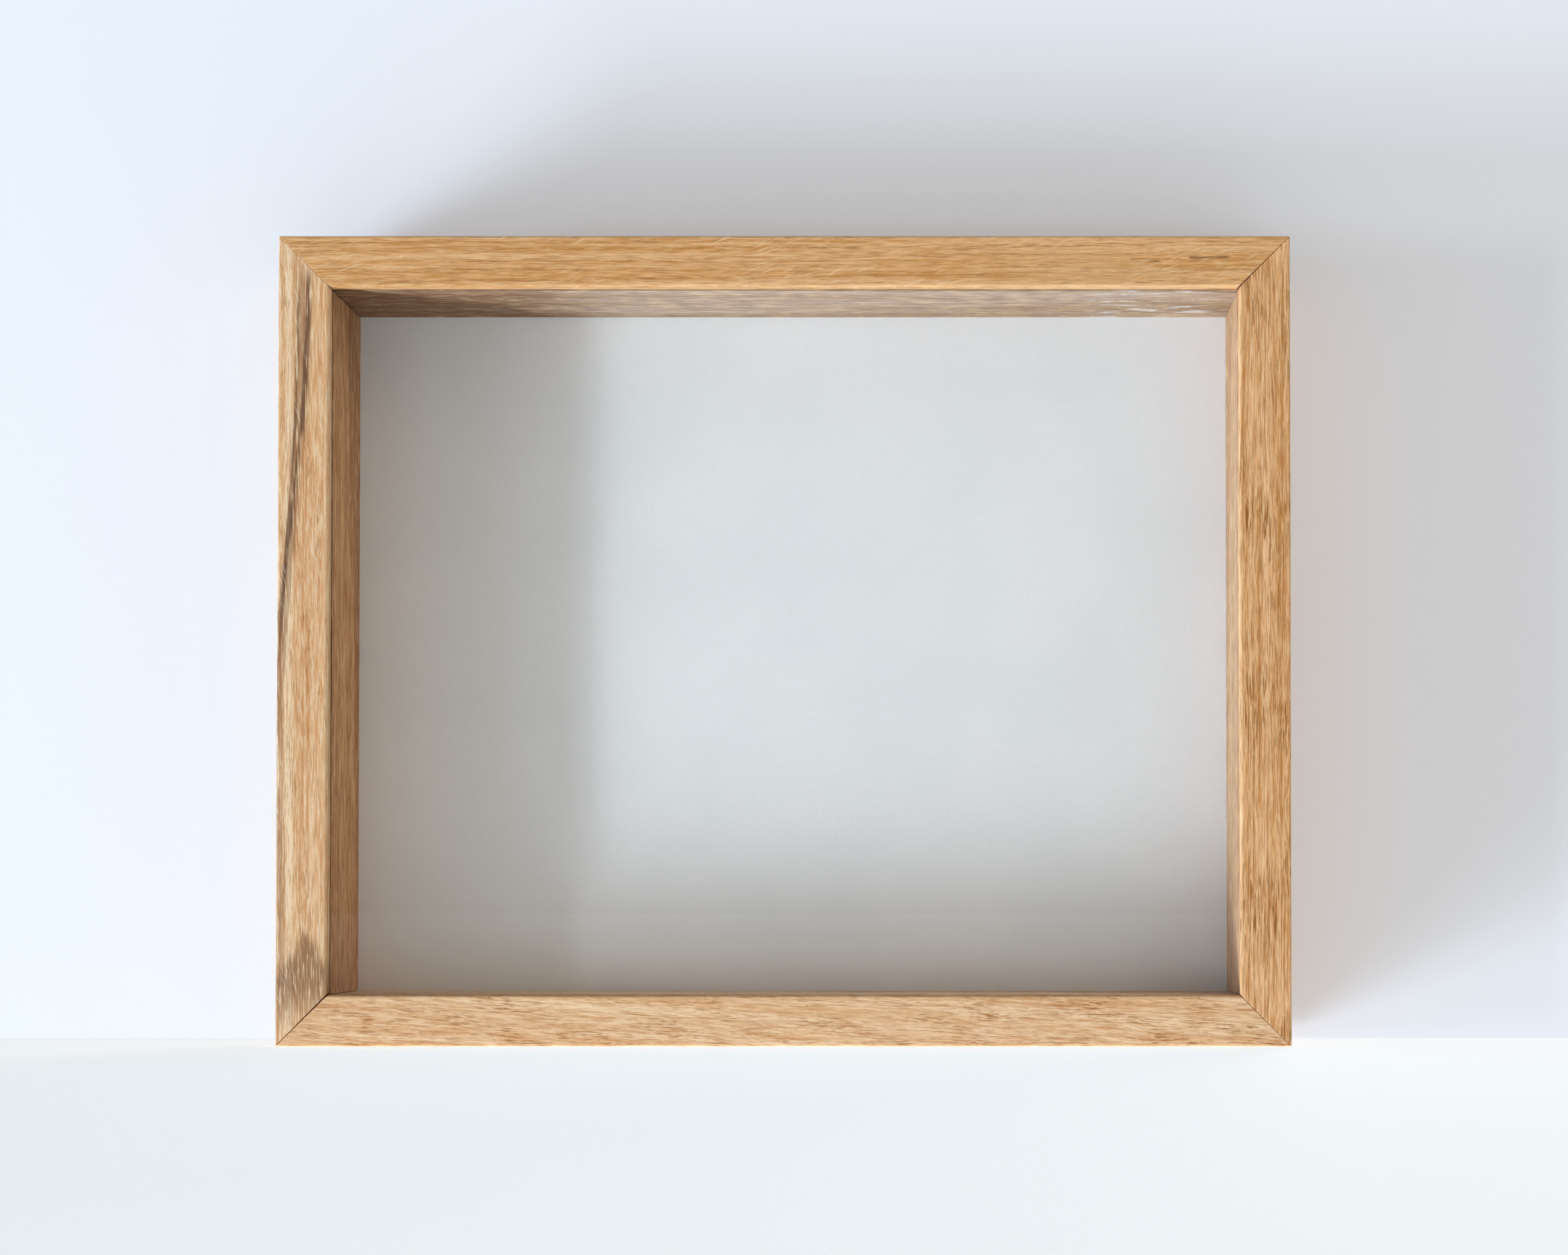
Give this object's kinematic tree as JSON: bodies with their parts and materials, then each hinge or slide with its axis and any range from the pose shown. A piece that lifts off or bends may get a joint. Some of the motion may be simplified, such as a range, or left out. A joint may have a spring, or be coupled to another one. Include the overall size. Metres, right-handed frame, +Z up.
{
  "type": "shadow box",
  "caption": "Deep wooden display frame with mitred rails, clear front, spacer-lined box and white panel; its back board is held by turn buttons and it hangs by D-rings.",
  "frame": {"origin": "under the middle of the box, on the surface that it stands on: centre of the bounding box's underside", "axes": "+X across the width, seen from the front to the right; +Y from the glazed front to the back; +Z up"},
  "size_m": [0.386, 0.0562, 0.309],
  "materials": {
    "oak_rails": "solid white oak, satin clear oil finish",
    "oak_spacers": "solid white oak strip, unpolished clear finish",
    "glazing": "clear low-reflection glazing",
    "white_panel": "matt white coated board",
    "hardboard": "tempered hardboard, smooth side out",
    "zinc_steel": "zinc-plated steel",
    "nickel_steel": "nickel-plated steel",
    "rubber": "matt black rubber"
  },
  "bodies": {
    "frame": {"rail_top": "oak_rails", "rail_bottom": "oak_rails", "rail_left": "oak_rails", "rail_right": "oak_rails", "spacer_top": "oak_spacers", "spacer_bottom": "oak_spacers", "spacer_left": "oak_spacers", "spacer_right": "oak_spacers", "glazing": "glazing", "display_panel": "white_panel", "back_board": "hardboard", "corner_nails": "zinc_steel", "turn_button_screws": "zinc_steel", "hanger_strap_left": "nickel_steel", "hanger_strap_right": "nickel_steel", "hanger_screws": "nickel_steel", "bumper_top_left": "rubber", "bumper_top_right": "rubber", "bumper_bottom_left": "rubber", "bumper_bottom_right": "rubber"},
    "turn_button_top_left": {"turn_button_top_left": "zinc_steel"},
    "turn_button_top_right": {"turn_button_top_right": "zinc_steel"},
    "turn_button_bottom_left": {"turn_button_bottom_left": "zinc_steel"},
    "turn_button_bottom_right": {"turn_button_bottom_right": "zinc_steel"},
    "turn_button_left": {"turn_button_left": "zinc_steel"},
    "turn_button_right": {"turn_button_right": "zinc_steel"},
    "d_ring_left": {"d_ring_left": "nickel_steel"},
    "d_ring_right": {"d_ring_right": "nickel_steel"}
  },
  "joints": [
    {"name": "turn_button_top_left_turn", "type": "hinge", "parent": "frame", "child": "turn_button_top_left", "pos_m": [-0.08, 0.02385, 0.30175], "axis": [0, 1, 0], "continuous": true},
    {"name": "turn_button_top_right_turn", "type": "hinge", "parent": "frame", "child": "turn_button_top_right", "pos_m": [0.08, 0.02385, 0.30175], "axis": [0, 1, 0], "continuous": true},
    {"name": "turn_button_bottom_left_turn", "type": "hinge", "parent": "frame", "child": "turn_button_bottom_left", "pos_m": [-0.08, 0.02385, 0.00725], "axis": [0, 1, 0], "continuous": true},
    {"name": "turn_button_bottom_right_turn", "type": "hinge", "parent": "frame", "child": "turn_button_bottom_right", "pos_m": [0.08, 0.02385, 0.00725], "axis": [0, 1, 0], "continuous": true},
    {"name": "turn_button_left_turn", "type": "hinge", "parent": "frame", "child": "turn_button_left", "pos_m": [-0.18575, 0.02385, 0.1545], "axis": [0, 1, 0], "continuous": true},
    {"name": "turn_button_right_turn", "type": "hinge", "parent": "frame", "child": "turn_button_right", "pos_m": [0.18575, 0.02385, 0.1545], "axis": [0, 1, 0], "continuous": true},
    {"name": "d_ring_left_swing", "type": "hinge", "parent": "frame", "child": "d_ring_left", "pos_m": [-0.18575, 0.02508, 0.225], "axis": [1, 0, 0], "range_deg": [0, 175]},
    {"name": "d_ring_right_swing", "type": "hinge", "parent": "frame", "child": "d_ring_right", "pos_m": [0.18575, 0.02508, 0.225], "axis": [1, 0, 0], "range_deg": [0, 175]}
  ]
}
